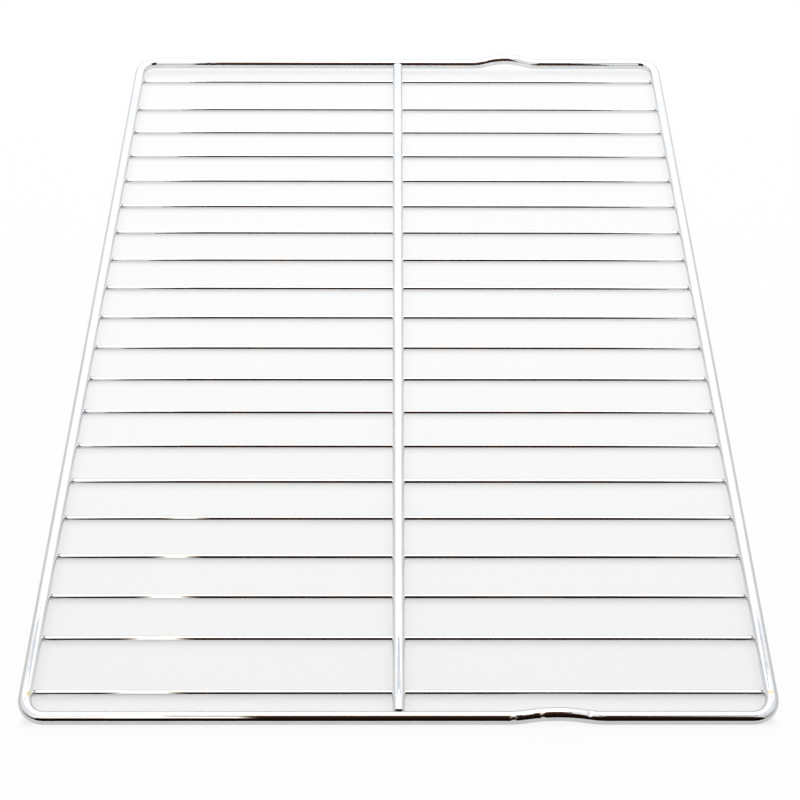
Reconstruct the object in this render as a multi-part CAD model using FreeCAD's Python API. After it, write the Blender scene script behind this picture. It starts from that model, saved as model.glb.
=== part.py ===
import FreeCAD, Part
import math
import os

# Oven shelf rack: a closed wire frame, one centre bar and a row of thin rungs, all welded.
# The rack lies on its rungs. X runs along the rungs, Y from the near rail to the far rail.
# The origin is under the middle of the rack, at the level that the rungs lie on.

# Driving sizes, in millimetres
rack_width = 340.0  # outside of the left rail to outside of the right rail
rack_depth = 475.0  # outside of the near rail to outside of the far rail
frame_wire = 6.0  # diameter of the wire that the frame is bent from
corner_bend = 10.0  # centreline radius of the frame's corners
bar_wire = 6.0  # diameter of the centre bar
rung_wire = 3.0  # diameter of a rung

# Rungs, counted from the near rail to the far rail
rung_count = 20
end_rung_margin = 14.2  # axis of the near or far rail to the axis of the rung beside it
end_rung_gap = 28.0  # first rung to second rung, wider than the regular pitch
rung_end_inset = 2.7  # cut end of a rung to the outside of the side rail that covers it
weld_set_down = 0.6  # depth that a rung sinks into the wire above it at a weld

# Kicks: one hump in the near rail and one in the far rail
kick_height = 3.6
kick_length = 43.0  # foot to foot
kick_foot_bend = 27.0  # centreline radius of the bend at each foot
kick_from_right = 100.0  # crest of a kick to the outside of the right rail

# Ends of the centre bar, butt-welded to the inner sides of the near and far rails
bar_end_bite = 0.3  # depth that the bar's end sinks into the rail
bar_end_chamfer = 0.3  # chamfer round the bar's cut ends
bar_taper_length = 7.0  # the near end is drawn down over this length
bar_taper_wire = 5.6  # diameter that the near end is drawn down to

# Places worked out from the driving sizes
frame_radius = frame_wire / 2
bar_radius = bar_wire / 2
rung_radius = rung_wire / 2
rail_x = rack_width / 2 - frame_radius
rail_y = rack_depth / 2 - frame_radius
rung_z = rung_radius
frame_z = rung_z + rung_radius + frame_radius - weld_set_down
bar_z = rung_z + rung_radius + bar_radius - weld_set_down
kick_x = rack_width / 2 - kick_from_right

along_x = FreeCAD.Vector(1, 0, 0)
along_y = FreeCAD.Vector(0, 1, 0)


def line(start, end):
    return Part.LineSegment(start, end).toShape()


def arc(start, middle, end):
    return Part.Arc(start, middle, end).toShape()


def kick_edges(y, heading):
    """The hump in a rail at depth y: a foot bend, the crest and a foot bend, all tangent.

    heading is 1 along +X or -1 along -X.
    """
    half_length = kick_length / 2
    bend_sum = (half_length**2 + kick_height**2) / (2 * kick_height)
    crest_bend = bend_sum - kick_foot_bend
    lean = math.asin(half_length / bend_sum)

    def foot_point(side, angle):
        x = side * (half_length - kick_foot_bend * math.sin(angle))
        z = kick_foot_bend * (1 - math.cos(angle))
        return FreeCAD.Vector(kick_x + x, y, frame_z + z)

    crest = FreeCAD.Vector(kick_x, y, frame_z + kick_height)
    rise = crest_bend * math.sin(lean)
    climb = kick_height - crest_bend * (1 - math.cos(lean))
    first = FreeCAD.Vector(kick_x - heading * rise, y, frame_z + climb)
    last = FreeCAD.Vector(kick_x + heading * rise, y, frame_z + climb)
    return [
        arc(foot_point(-heading, 0), foot_point(-heading, lean / 2), first),
        arc(first, crest, last),
        arc(last, foot_point(heading, lean / 2), foot_point(heading, 0)),
    ]


def rail_edges(y, heading):
    """A near or far rail from corner bend to corner bend, with its kick."""
    straight_x = rail_x - corner_bend
    start = FreeCAD.Vector(-heading * straight_x, y, frame_z)
    end = FreeCAD.Vector(heading * straight_x, y, frame_z)
    kick = kick_edges(y, heading)
    kick_start = FreeCAD.Vector(kick_x - heading * kick_length / 2, y, frame_z)
    kick_end = FreeCAD.Vector(kick_x + heading * kick_length / 2, y, frame_z)
    return [line(start, kick_start)] + kick + [line(kick_end, end)]


def corner_edge(side_x, side_y, heading):
    """A quarter bend. heading is 1 where it turns from a rail into a side, -1 from a side into a rail."""
    centre_x = side_x * (rail_x - corner_bend)
    centre_y = side_y * (rail_y - corner_bend)
    reach = corner_bend * math.sqrt(0.5)
    on_rail = FreeCAD.Vector(centre_x, side_y * rail_y, frame_z)
    middle = FreeCAD.Vector(centre_x + side_x * reach, centre_y + side_y * reach, frame_z)
    on_side = FreeCAD.Vector(side_x * rail_x, centre_y, frame_z)
    if heading > 0:
        return arc(on_rail, middle, on_side)
    return arc(on_side, middle, on_rail)


def perimeter_frame():
    """One wire bent into a closed rectangle, its ends butt-welded in the left side."""
    side_end = rail_y - corner_bend
    seam = FreeCAD.Vector(-rail_x, 0, frame_z)
    path = [line(seam, FreeCAD.Vector(-rail_x, -side_end, frame_z)), corner_edge(-1, -1, -1)]
    path += rail_edges(-rail_y, 1)
    path += [corner_edge(1, -1, 1)]
    path += [line(FreeCAD.Vector(rail_x, -side_end, frame_z), FreeCAD.Vector(rail_x, side_end, frame_z))]
    path += [corner_edge(1, 1, -1)]
    path += rail_edges(rail_y, -1)
    path += [corner_edge(-1, 1, 1), line(FreeCAD.Vector(-rail_x, side_end, frame_z), seam)]
    section = Part.Face(Part.Wire(Part.makeCircle(frame_radius, seam, along_y)))
    return Part.Wire(path).makePipe(section)


def centre_bar(frame):
    """A straight bar across the middle of the rungs, turned from its outline and seated on both rails."""
    end_y = rail_y - frame_radius + bar_end_bite
    near_radius = bar_taper_wire / 2
    outline = [
        (-end_y, 0),
        (-end_y, near_radius - bar_end_chamfer),
        (-end_y + bar_end_chamfer, near_radius),
        (-end_y + bar_taper_length, bar_radius),
        (end_y - bar_end_chamfer, bar_radius),
        (end_y, bar_radius - bar_end_chamfer),
        (end_y, 0),
        (-end_y, 0),
    ]
    points = [FreeCAD.Vector(0, y, bar_z + radius) for y, radius in outline]
    profile = Part.Face(Part.makePolygon(points))
    turned = profile.revolve(points[0], along_y, 360)
    return turned.cut(frame)


def rung_places():
    """Depths of the rungs: an end rung beside each rail and the others evenly between them."""
    end_y = rail_y - end_rung_margin
    inner_y = end_y - end_rung_gap
    pitch = 2 * inner_y / (rung_count - 3)
    inner = [-inner_y + pitch * index for index in range(rung_count - 2)]
    return [-end_y] + inner + [end_y]


def rung(y, frame, bar):
    """A thin wire under the side rails and the bar, with a saddle where each weld sinks into it."""
    half_length = rack_width / 2 - rung_end_inset
    start = FreeCAD.Vector(-half_length, y, rung_z)
    wire = Part.makeCylinder(rung_radius, 2 * half_length, start, along_x)
    return wire.cut([frame, bar])


def save(shape, node):
    shape.exportStep("parts/" + node + ".step")


os.makedirs("parts", exist_ok=True)
frame_solid = perimeter_frame()
bar_solid = centre_bar(frame_solid)
save(frame_solid, "perimeter_frame")
save(bar_solid, "centre_bar")
for number, place in enumerate(rung_places(), start=1):
    save(rung(place, frame_solid, bar_solid), f"rung_{number:02d}")
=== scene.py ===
import math

import bpy
from mathutils import Matrix, Vector


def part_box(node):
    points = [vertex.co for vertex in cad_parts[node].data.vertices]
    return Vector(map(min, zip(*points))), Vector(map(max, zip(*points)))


# Oven shelf rack: chrome-plated steel wire, lying on a white studio floor.
# All lengths are in metres, in the frame of the CAD model.

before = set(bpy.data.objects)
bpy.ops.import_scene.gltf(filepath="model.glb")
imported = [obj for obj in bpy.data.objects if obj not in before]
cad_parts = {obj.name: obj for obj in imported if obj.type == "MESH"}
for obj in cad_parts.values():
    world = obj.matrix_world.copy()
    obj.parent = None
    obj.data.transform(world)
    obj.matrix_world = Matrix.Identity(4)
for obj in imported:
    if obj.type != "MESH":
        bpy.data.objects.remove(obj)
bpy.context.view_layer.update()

# Places on the rack, from the boxes of its pieces
frame_low, frame_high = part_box("perimeter_frame")
bar_low, bar_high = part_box("centre_bar")
wire_radius = (bar_high.x - bar_low.x) / 2  # of the frame and of the bar
rail_x = frame_high.x - wire_radius
rail_y = frame_high.y - wire_radius
rail_z = frame_low.z + wire_radius
rung_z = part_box("rung_01")[1].z / 2
corner_bend = 0.010
kick_from_right = 0.100  # middle of the hump in a rail to the outside of the right rail
near_left = Vector((-rail_x, -rail_y, rail_z))
near_right = Vector((rail_x, -rail_y, rail_z))
near_hump = Vector((frame_high.x - kick_from_right, -rail_y, rail_z))

# Camera, at the photograph's place
camera_place = Vector((-0.00218, -0.52926, 0.57986))
camera_pitch = math.radians(50.243)  # down from the horizon
camera_yaw = math.radians(0.373)  # towards +X
camera_roll = math.radians(0.327)
camera_lens = 0.064008
sensor_width = 0.036
nearest_shown = 0.01
farthest_shown = 50.0
millimetres = 1000  # in a metre, for the lens and the sensor

# Chrome: bright plating over drawn wire
plating_cool = (0.715, 0.732, 0.755, 1.0)
plating_warm = (0.785, 0.777, 0.762, 1.0)
plating_dull = (0.49, 0.48, 0.47, 1.0)  # in the corner of a weld
plating_stain = (0.68, 0.56, 0.35, 1.0)  # rubbed by the bending tool
smooth = 0.025  # roughness of the brightest plating
hazy = 0.075
dull = 0.50
haze_size = 0.016
haze_detail = 3.0
haze_range = (0.35, 0.70)  # noise values between which the haze sets in
haze_in_roughness = 0.7  # its share in the roughness, and the drawing lines have the rest
line_width = 0.00025  # lines that drawing leaves along the wire
line_length = 0.040
line_depth = 0.0000008
line_detail = 1.0
ripple_size = 0.008  # slow unevenness of the wire under the plating
ripple_depth = 0.00004
ripple_detail = 2.0
weld_reach = 0.0012  # dull plating, from the edge of a crossing wire
weld_share = 0.45

# Marks of the bending tool: stains at the near corners, nicks and scuffs on the near hump
stain_radius = 0.0024
stains = (
    near_left + Vector((0.0016, 0.0106, 0.0025)),
    near_right + Vector((-0.0008, 0.0113, 0.0029)),
)
nick_radius = 0.0018
burr_height = 0.00020
burrs = (
    near_hump + Vector((-0.0192, -0.0017, 0.0026)),
    near_hump + Vector((-0.0066, -0.0016, 0.0056)),
)
dent_depth = 0.00030
dents = (near_hump + Vector((0.0146, -0.0001, 0.0040)),)
scuff_radius = 0.0015
scuffs = (
    near_hump + Vector((-0.0206, -0.0013, 0.0028)),
    near_hump + Vector((-0.0182, -0.0016, 0.0028)),
    near_hump + Vector((-0.0072, -0.0013, 0.0058)),
)

# Light: lit panels in the roof of a white tent over the rack, and a plain fill from all sides
tent_half_width = 0.60
tent_height = 0.755
tent_front = -0.100  # front edge of the lit roof
tent_back = 1.00
front_seam = (-0.090, -0.010)  # a stretch of the roof with no lamp, across its whole width
middle_seam = (0.190, 0.260)  # a stretch that lets only a little light through
lamp_radiance = 1.60
seam_radiance = 0.10
fill_light = 0.57

# Floor: white paper, lifted towards pure white for the rays that show a background, and lifted less
# under the rack as painted shade
floor_half_width = 4.0
floor_white = 0.90
glow_in_metal = 0.68
# Painted shade: in the metal the open floor beyond the rack is shown dimmer than under it
shaded_floor_in_metal = 0.75  # brightness of the open floor as the metal shows it
# Painted shade: under the rack the floor is lifted less towards white, least beside the near rail
painted_shade_glow_near = 0.56  # under the rack, beside the near rail
painted_shade_glow_inside = 0.72  # under the rack, from its middle to the far rail
glow_beyond_rack = 0.95
floor_blend = 0.003  # half-width of the change, under the frame's wire

# Cloth of the tent: only the metal shows it and all that follows
wall_foot = 0.67  # brightness of the walls where they meet the floor
wall_top = 1.32
back_gain = 0.5  # the walls are brighter towards the back
back_gain_start = 0.30
front_share = 0.65  # the walls are dimmer at the front
front_share_end = (0.05, 0.12)  # depths between which they reach their full brightness
panel_gap = 0.001  # keeps a panel clear of another in the same plane

# Middle seam and side edges of the roof
seam_dim = (0.86, 0.89, 0.95, 1.0)  # the seam, over the bar
seam_pale = (0.98, 1.02, 1.08, 1.0)  # the seam towards the sides, and the side edges
seam_dim_width = (0.10, 0.35)  # distances from the middle between which it turns pale
seam_fade = (0.028, 0.044)  # distances from its centre line between which it turns bright
seam_y = 0.219
seam_bow = 0.10  # its ends lie further back, by this times the square of the distance to the side
roof_edge_x = 0.38  # the front panel of the roof is bright out to here

# Open front of the tent, a dark canopy over it and a skirting on each side
opening_y = -0.290
opening_left = -0.203
opening_lean = 0.030  # its left edge leans outwards
opening_right = 0.217
opening_bottom = 0.012
opening_dark = (0.002, 0.001, 0.001, 1.0)
opening_brown = (0.085, 0.044, 0.027, 1.0)
brown_height = 0.45  # where the dark has turned brown
canopy_left = -0.230
canopy_right = 0.400
canopy_edge = (0.34, 0.19, 0.11, 1.0)  # where the canopy meets the lit roof
skirting_height = 0.055
skirting_left = (0.19, 0.17, 0.16, 1.0)
skirting_right = (0.43, 0.32, 0.24, 1.0)

# Bright cards between wires. Each row is a distance in front of the card's foot and its two edges
card_white = (1.42, 1.38, 1.30, 1.0)
card_gold = (1.25, 0.86, 0.50, 1.0)  # in the soft edges
card_soft = 0.010  # width of a soft edge
card_fade = (0.0, 1.0, 1.0, 0.0)  # outside and inside of the left edge, inside and outside of the right
card_lean = math.radians(11)  # a card rises towards the front
long_card = ((0.009, -0.1161, -0.0985), (0.111, -0.1370, -0.1030))
short_card = ((0.009, -0.115, -0.096), (0.014, -0.115, -0.096))
rail_card_lean = math.radians(50)
rail_card = ((0.009, -0.175, -0.067), (0.025, -0.175, -0.067))


def new_material(name):
    material = bpy.data.materials.new(name)
    material.use_nodes = True
    material.node_tree.nodes.clear()
    return material


def add(tree, kind):
    return tree.nodes.new("ShaderNode" + kind)


def give(tree, value, socket):
    """Link a socket to the input, or set a plain value on it."""
    if isinstance(value, bpy.types.NodeSocket):
        tree.links.new(value, socket)
    else:
        socket.default_value = value


def calc(tree, operation, first, second=0.0):
    node = add(tree, "Math")
    node.operation = operation
    give(tree, first, node.inputs[0])
    give(tree, second, node.inputs[1])
    return node.outputs[0]


def ramp(tree, value, start, end, low=0.0, high=1.0):
    """A smooth change from low at start to high at end."""
    node = add(tree, "MapRange")
    node.interpolation_type = "SMOOTHSTEP"
    for name, setting in (("From Min", start), ("From Max", end), ("To Min", low), ("To Max", high)):
        node.inputs[name].default_value = setting
    give(tree, value, node.inputs["Value"])
    return node.outputs["Result"]


def blend(tree, share, first, last):
    """A colour between first and last."""
    node = add(tree, "Mix")
    node.data_type = "RGBA"
    give(tree, share, node.inputs[0])
    give(tree, first, node.inputs[6])
    give(tree, last, node.inputs[7])
    return node.outputs[2]


def grey(level):
    return (level, level, level, 1.0)


def position(tree):
    return add(tree, "NewGeometry").outputs["Position"]


def along(tree, place, axis):
    """One coordinate of a place: X, Y or Z."""
    node = add(tree, "SeparateXYZ")
    tree.links.new(place, node.inputs[0])
    return node.outputs[axis]


def off_middle(tree, place, axis):
    """The distance of a place from the middle of the rack, along an axis."""
    return calc(tree, "ABSOLUTE", along(tree, place, axis))


def noise(tree, place, sizes, detail):
    """Noise with its own grain size along each axis."""
    scaled = add(tree, "VectorMath")
    scaled.operation = "DIVIDE"
    scaled.inputs[1].default_value = sizes
    tree.links.new(place, scaled.inputs[0])
    grain = add(tree, "TexNoise")
    grain.inputs["Scale"].default_value = 1.0
    grain.inputs["Detail"].default_value = detail
    tree.links.new(scaled.outputs[0], grain.inputs["Vector"])
    return grain.outputs["Fac"]


def spots(tree, place, centres, radius):
    """1 at each centre, falling to 0 at the radius."""
    share = 0.0
    for centre in centres:
        gap = add(tree, "VectorMath")
        gap.operation = "DISTANCE"
        tree.links.new(place, gap.inputs[0])
        gap.inputs[1].default_value = centre
        spot = ramp(tree, gap.outputs["Value"], 0.0, radius, 1.0, 0.0)
        share = calc(tree, "MAXIMUM", spot, share)
    return share


def surface(tree, shader):
    give(tree, shader.outputs[0], add(tree, "OutputMaterial").inputs["Surface"])


def layered(tree, share, under, over):
    """A shader over another one, as far as share says."""
    mix = add(tree, "MixShader")
    give(tree, share, mix.inputs["Fac"])
    give(tree, under.outputs[0], mix.inputs[1])
    give(tree, over.outputs[0], mix.inputs[2])
    return mix


def lines_along(tree, place, axis):
    """The fine lines that drawing leaves along a wire."""
    sizes = [line_width] * 3
    sizes["XYZ".index(axis)] = line_length
    return noise(tree, place, sizes, line_detail)


def frame_lines(tree, place):
    """Lines that turn with the wire at the corners, and run along the bar."""
    across = off_middle(tree, place, "X")
    on_side = ramp(tree, across, rail_x - corner_bend, rail_x)
    off_rails = calc(tree, "LESS_THAN", off_middle(tree, place, "Y"), rail_y - wire_radius)
    off_sides = calc(tree, "LESS_THAN", across, rail_x / 2)
    on_bar = calc(tree, "MULTIPLY", off_rails, off_sides)
    node = add(tree, "Mix")
    give(tree, calc(tree, "MAXIMUM", on_side, on_bar), node.inputs[0])
    give(tree, lines_along(tree, place, "X"), node.inputs[2])
    give(tree, lines_along(tree, place, "Y"), node.inputs[3])
    return node.outputs[0]


def plating(name, lines, worn, worn_tone, nicks=None):
    """Chrome whose haze, tone and height all change over the wire.

    lines, worn and nicks are node functions, and worn_tone is the colour where it is worn.
    """
    material = new_material(name)
    tree = material.node_tree
    place = position(tree)
    haze = ramp(tree, noise(tree, place, (haze_size,) * 3, haze_detail), *haze_range)
    fine = lines(tree, place)
    wear = worn(tree, place)

    tone = blend(tree, haze, plating_cool, plating_warm)
    tone = blend(tree, wear, tone, worn_tone)

    from_haze = calc(tree, "MULTIPLY", haze, haze_in_roughness)
    from_lines = calc(tree, "MULTIPLY", fine, 1.0 - haze_in_roughness)
    rough = ramp(tree, calc(tree, "ADD", from_haze, from_lines), 0.0, 1.0, smooth, hazy)
    rough = calc(tree, "ADD", rough, calc(tree, "MULTIPLY", wear, dull - smooth))

    ripple = noise(tree, place, (ripple_size,) * 3, ripple_detail)
    height = calc(tree, "MULTIPLY", ripple, ripple_depth)
    height = calc(tree, "ADD", height, calc(tree, "MULTIPLY", fine, line_depth))
    if nicks:
        height = calc(tree, "ADD", height, nicks(tree, place))
    bump = add(tree, "Bump")
    bump.inputs["Distance"].default_value = 1.0
    tree.links.new(height, bump.inputs["Height"])

    shader = add(tree, "BsdfPrincipled")
    shader.inputs["Metallic"].default_value = 1.0
    give(tree, tone, shader.inputs["Base Color"])
    give(tree, rough, shader.inputs["Roughness"])
    give(tree, bump.outputs["Normal"], shader.inputs["Normal"])
    surface(tree, shader)
    return material


def tool_rubs(tree, place):
    """The stains at the near corners and the scuffs on the hump."""
    stained = spots(tree, place, stains, stain_radius)
    scuffed = spots(tree, place, scuffs, scuff_radius)
    return calc(tree, "MAXIMUM", stained, scuffed)


def hump_nicks(tree, place):
    """The burrs stand up and the dent goes in."""
    raised = calc(tree, "MULTIPLY", spots(tree, place, burrs, nick_radius), burr_height)
    sunk = calc(tree, "MULTIPLY", spots(tree, place, dents, nick_radius), dent_depth)
    return calc(tree, "SUBTRACT", raised, sunk)


def frame_chrome():
    """The frame and the bar: rubs at the near corners, and nicks on the near hump."""
    return plating("frame_chrome", frame_lines, tool_rubs, plating_stain, hump_nicks)


def rung_lines(tree, place):
    return lines_along(tree, place, "X")


def weld_corners(tree, place):
    """Where a rung goes under the bar or a side rail, falling to 0 a little way out."""
    across = off_middle(tree, place, "X")
    from_rail = calc(tree, "ABSOLUTE", calc(tree, "SUBTRACT", across, rail_x))
    nearest = calc(tree, "MINIMUM", across, from_rail)
    return ramp(tree, nearest, wire_radius, wire_radius + weld_reach, weld_share, 0.0)


def rung_chrome():
    """The rungs: dull plating in the corner of each weld."""
    return plating("rung_chrome", rung_lines, weld_corners, plating_dull)


def dress(nodes):
    on_frame = frame_chrome()
    on_rungs = rung_chrome()
    for name, node in nodes.items():
        node.data.materials.clear()
        node.data.materials.append(on_rungs if name.startswith("rung") else on_frame)


def stage_piece(name, corners, faces, material):
    """A piece of the studio, which isn't part of the rack."""
    mesh = bpy.data.meshes.new(name)
    mesh.from_pydata(corners, [], faces)
    mesh.materials.append(material)
    piece = bpy.data.objects.new(name, mesh)
    bpy.context.scene.collection.objects.link(piece)
    return piece


def panel(name, corners, material):
    return stage_piece(name, corners, [tuple(range(len(corners)))], material)


def show_only_in_metal(piece):
    """The piece is seen in mirror reflections and nowhere else, and throws no shadow."""
    piece.visible_camera = False
    piece.visible_diffuse = False
    piece.visible_transmission = False
    piece.visible_volume_scatter = False
    piece.visible_shadow = False


def upright(name, start, end, bottom, top, material):
    """A wall between two points of the floor plan, seen only in the metal."""
    corners = [(*start, bottom), (*end, bottom), (*end, top), (*start, top)]
    show_only_in_metal(panel(name, corners, material))


def overhead(name, z, across, depth, material):
    """A level panel over the rack, seen only in the metal."""
    left, right = across
    front, back = depth
    corners = [(left, front, z), (right, front, z), (right, back, z), (left, back, z)]
    show_only_in_metal(panel(name, corners, material))


def beyond_rack(tree):
    """0 under the rack and 1 beyond its frame: the edge of the floor's painted shade."""
    place = position(tree)
    beyond_x = ramp(tree, off_middle(tree, place, "X"), rail_x - floor_blend, rail_x + floor_blend)
    beyond_y = ramp(tree, off_middle(tree, place, "Y"), rail_y - floor_blend, rail_y + floor_blend)
    return calc(tree, "MAXIMUM", beyond_x, beyond_y)


def floor_material():
    """White paper: the open floor is lifted towards pure white, and keeps a trace of shadow. Under the
    rack it is lifted less, most of all beside the near rail, as painted shade, and in the metal the
    floor beyond the rack is dimmed as painted shade.
    """
    material = new_material("studio_floor")
    tree = material.node_tree
    path = add(tree, "LightPath").outputs
    seen = calc(tree, "MAXIMUM", path["Is Camera Ray"], path["Is Transmission Ray"])
    in_metal = path["Is Glossy Ray"]
    beyond = beyond_rack(tree)

    # Painted shade: less lift under the rack, least beside the near rail
    under = ramp(tree, along(tree, position(tree), "Y"), -rail_y, 0.0, painted_shade_glow_near, painted_shade_glow_inside)
    lift = calc(tree, "MULTIPLY", beyond, calc(tree, "SUBTRACT", glow_beyond_rack, under))
    seen_glow = calc(tree, "MULTIPLY", seen, calc(tree, "ADD", under, lift))
    mirrored_glow = calc(tree, "MULTIPLY", in_metal, glow_in_metal)
    glow = calc(tree, "MAXIMUM", seen_glow, mirrored_glow)

    # Painted shade: the floor beyond the rack is dimmed for glossy rays
    mirrored_beyond = calc(tree, "MULTIPLY", in_metal, beyond)
    painted_shade_in_metal = calc(tree, "MULTIPLY", mirrored_beyond, 1.0 - shaded_floor_in_metal)
    white = add(tree, "Emission")
    give(tree, calc(tree, "SUBTRACT", 1.0, painted_shade_in_metal), white.inputs["Strength"])
    diffuse = add(tree, "BsdfDiffuse")
    diffuse.inputs["Color"].default_value = grey(floor_white)
    surface(tree, layered(tree, glow, diffuse, white))
    return material


def build_floor():
    w = floor_half_width
    panel("floor", [(-w, -w, 0), (w, -w, 0), (w, w, 0), (-w, w, 0)], floor_material())


def glowing(name, paint):
    """A surface with its own light. paint is a node function that gives its colour."""
    material = new_material(name)
    tree = material.node_tree
    glow = add(tree, "Emission")
    give(tree, paint(tree), glow.inputs["Color"])
    surface(tree, glow)
    return material


def tent_cloth(tree):
    """Greyer at the foot of the walls and at the front, and brighter towards the top and the back."""
    place = position(tree)
    depth = along(tree, place, "Y")
    rise = calc(tree, "DIVIDE", along(tree, place, "Z"), tent_height)
    rise = calc(tree, "ADD", rise, ramp(tree, depth, back_gain_start, tent_back, 0.0, back_gain))
    left_over = calc(tree, "SUBTRACT", 1.0, calc(tree, "MINIMUM", rise, 1.0))
    share = calc(tree, "SUBTRACT", 1.0, calc(tree, "MULTIPLY", left_over, left_over))
    share = calc(tree, "MULTIPLY", share, ramp(tree, depth, *front_share_end, front_share, 1.0))
    return blend(tree, share, grey(wall_foot), grey(wall_top))


def build_walls():
    """The tent's sides, back and front, with a skirting on each side of the open front."""
    cloth = glowing("tent_cloth", tent_cloth)
    left_front = (-tent_half_width, opening_y)
    left_back = (-tent_half_width, tent_back)
    right_front = (tent_half_width, opening_y)
    right_back = (tent_half_width, tent_back)
    left_post = (opening_left, opening_y)
    right_post = (opening_right, opening_y)
    upright("left_wall", left_front, left_back, 0.0, tent_height, cloth)
    upright("right_wall", right_front, right_back, 0.0, tent_height, cloth)
    upright("back_wall", left_back, right_back, 0.0, tent_height, cloth)
    upright("front_left_wall", left_front, left_post, skirting_height, tent_height, cloth)
    upright("front_right_wall", right_post, right_front, skirting_height, tent_height, cloth)
    upright("left_skirting", left_front, left_post, opening_bottom, skirting_height,
            glowing("left_skirting", lambda tree: skirting_left))
    upright("right_skirting", right_post, right_front, opening_bottom, skirting_height,
            glowing("right_skirting", lambda tree: skirting_right))


def dark_opening(tree):
    """Dark at the foot, turning brown upwards."""
    rise = calc(tree, "DIVIDE", along(tree, position(tree), "Z"), brown_height)
    return blend(tree, calc(tree, "MINIMUM", rise, 1.0), opening_dark, opening_brown)


def dark_canopy(tree):
    """Brown over the open front, turning paler towards the lit roof."""
    inwards = calc(tree, "SUBTRACT", along(tree, position(tree), "Y"), opening_y)
    share = calc(tree, "DIVIDE", inwards, tent_front - opening_y)
    return blend(tree, share, opening_brown, canopy_edge)


def build_opening():
    y = opening_y + panel_gap
    dark_front = [
        (opening_left, y, opening_bottom),
        (opening_right, y, opening_bottom),
        (opening_right, y, tent_height),
        (opening_left - opening_lean, y, tent_height),
    ]
    show_only_in_metal(panel("dark_front", dark_front, glowing("dark_opening", dark_opening)))
    overhead("dark_above", tent_height, (canopy_left, canopy_right), (opening_y, tent_front),
             glowing("dark_canopy", dark_canopy))


def seam_cloth(tree):
    """Dim in the middle of the seam, paler to the sides, and bright at its edges."""
    place = position(tree)
    across = along(tree, place, "X")
    bow = calc(tree, "MULTIPLY", calc(tree, "MULTIPLY", across, across), seam_bow)
    bowed = calc(tree, "SUBTRACT", along(tree, place, "Y"), bow)
    off_line = calc(tree, "ABSOLUTE", calc(tree, "SUBTRACT", bowed, seam_y))
    aside = ramp(tree, off_middle(tree, place, "X"), *seam_dim_width)
    tone = blend(tree, aside, seam_dim, seam_pale)
    return blend(tree, ramp(tree, off_line, *seam_fade), tone, grey(lamp_radiance))


def build_roof():
    """The middle seam and the pale side edges, just under the lamps."""
    z = tent_height - panel_gap
    seam_front = seam_y - seam_fade[1]
    seam_back = seam_y + seam_fade[1] + seam_bow * tent_half_width**2
    overhead("seam", z, (-tent_half_width, tent_half_width), (seam_front, seam_back),
             glowing("seam_cloth", seam_cloth))
    pale = glowing("roof_edge", lambda tree: seam_pale)
    edge_y = (front_seam[1], seam_front)
    overhead("left_roof_edge", z, (-tent_half_width, -roof_edge_x), edge_y, pale)
    overhead("right_roof_edge", z, (roof_edge_x, tent_half_width), edge_y, pale)


def card_material():
    """Bright from the front, with soft golden edges, and clear from behind."""
    material = new_material("bright_card")
    tree = material.node_tree
    attribute = add(tree, "Attribute")
    attribute.attribute_name = "fade"
    fade = attribute.outputs["Fac"]
    behind = add(tree, "NewGeometry").outputs["Backfacing"]
    in_front = calc(tree, "SUBTRACT", 1.0, behind)
    shown = calc(tree, "MULTIPLY", calc(tree, "MULTIPLY", fade, fade), in_front)
    glow = add(tree, "Emission")
    give(tree, blend(tree, fade, card_gold, card_white), glow.inputs["Color"])
    surface(tree, layered(tree, shown, add(tree, "BsdfTransparent"), glow))
    return material


def build_card(name, foot_y, lean, rows, material):
    """A card that only the wires in front of its foot see: it breaks their dark lines."""
    half = card_soft / 2
    corners = []
    for out, left, right in rows:
        for x in (left - half, left + half, right - half, right + half):
            corners.append((x, foot_y - out, rung_z + out * math.tan(lean)))
    across = len(card_fade)
    faces = []
    for row in range(len(rows) - 1):
        for column in range(across - 1):
            first = row * across + column
            faces.append((first, first + 1, first + 1 + across, first + across))
    piece = stage_piece(name, corners, faces, material)
    fade = piece.data.attributes.new("fade", "FLOAT", "POINT")
    for index in range(len(corners)):
        fade.data[index].value = card_fade[index % across]
    show_only_in_metal(piece)


def gap_behind(front, back):
    """The depth midway between two rungs."""
    return (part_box(front)[1].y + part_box(back)[0].y) / 2


def build_cards():
    material = card_material()
    behind_rail = (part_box("rung_01")[0].y - rail_y + wire_radius) / 2
    build_card("rail_card", behind_rail, rail_card_lean, rail_card, material)
    build_card("long_card", gap_behind("rung_04", "rung_05"), card_lean, long_card, material)
    build_card("short_card", gap_behind("rung_05", "rung_06"), card_lean, short_card, material)


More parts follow.
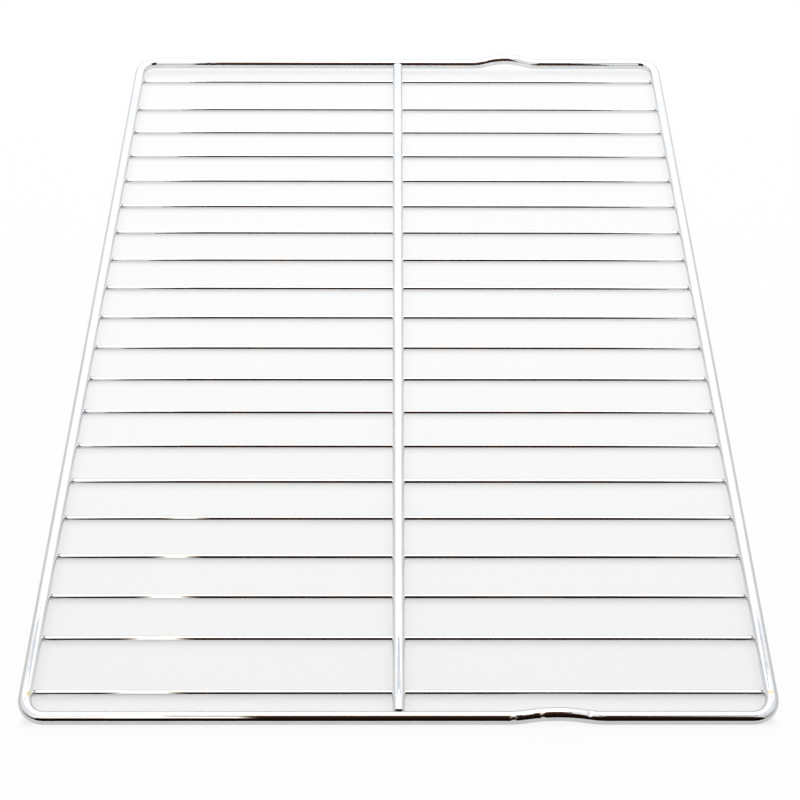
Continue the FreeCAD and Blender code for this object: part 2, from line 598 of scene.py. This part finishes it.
def roof_lamp(name, front, back, radiance):
    """A lit panel of the roof, between two depths."""
    width = 2 * tent_half_width
    depth = back - front
    light = bpy.data.lights.new(name, "AREA")
    light.shape = "RECTANGLE"
    light.size = width
    light.size_y = depth
    light.energy = radiance * math.pi * width * depth
    holder = bpy.data.objects.new(name, light)
    holder.location = (0, (front + back) / 2, tent_height)
    holder.visible_camera = False
    bpy.context.scene.collection.objects.link(holder)


def build_lamps():
    roof_lamp("front_lamp", tent_front, front_seam[0], lamp_radiance)
    roof_lamp("middle_lamp", front_seam[1], middle_seam[0], lamp_radiance)
    roof_lamp("seam_lamp", middle_seam[0], middle_seam[1], seam_radiance)
    roof_lamp("back_lamp", middle_seam[1], tent_back, lamp_radiance)


def build_world():
    """Pure white where it is seen or mirrored, and the fill light elsewhere."""
    world = bpy.data.worlds.new("studio")
    world.use_nodes = True
    tree = world.node_tree
    background = tree.nodes["Background"]
    background.inputs["Color"].default_value = grey(1.0)
    path = add(tree, "LightPath").outputs
    seen = calc(tree, "MAXIMUM", path["Is Camera Ray"], path["Is Transmission Ray"])
    seen = calc(tree, "MAXIMUM", seen, path["Is Glossy Ray"])
    give(tree, ramp(tree, seen, 0.0, 1.0, fill_light, 1.0), background.inputs["Strength"])
    bpy.context.scene.world = world


def build_camera():
    data = bpy.data.cameras.new("camera")
    data.sensor_width = sensor_width * millimetres
    data.lens = camera_lens * millimetres
    data.clip_start = nearest_shown
    data.clip_end = farthest_shown
    camera = bpy.data.objects.new("camera", data)
    camera.matrix_world = (
        Matrix.Translation(camera_place)
        @ Matrix.Rotation(-camera_yaw, 4, "Z")
        @ Matrix.Rotation(math.pi / 2 - camera_pitch, 4, "X")
        @ Matrix.Rotation(camera_roll, 4, "Z")
    )
    bpy.context.scene.collection.objects.link(camera)
    bpy.context.scene.camera = camera


dress(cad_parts)
build_floor()
build_walls()
build_opening()
build_roof()
build_cards()
build_lamps()
build_world()
build_camera()
bpy.context.scene.view_settings.view_transform = "Standard"
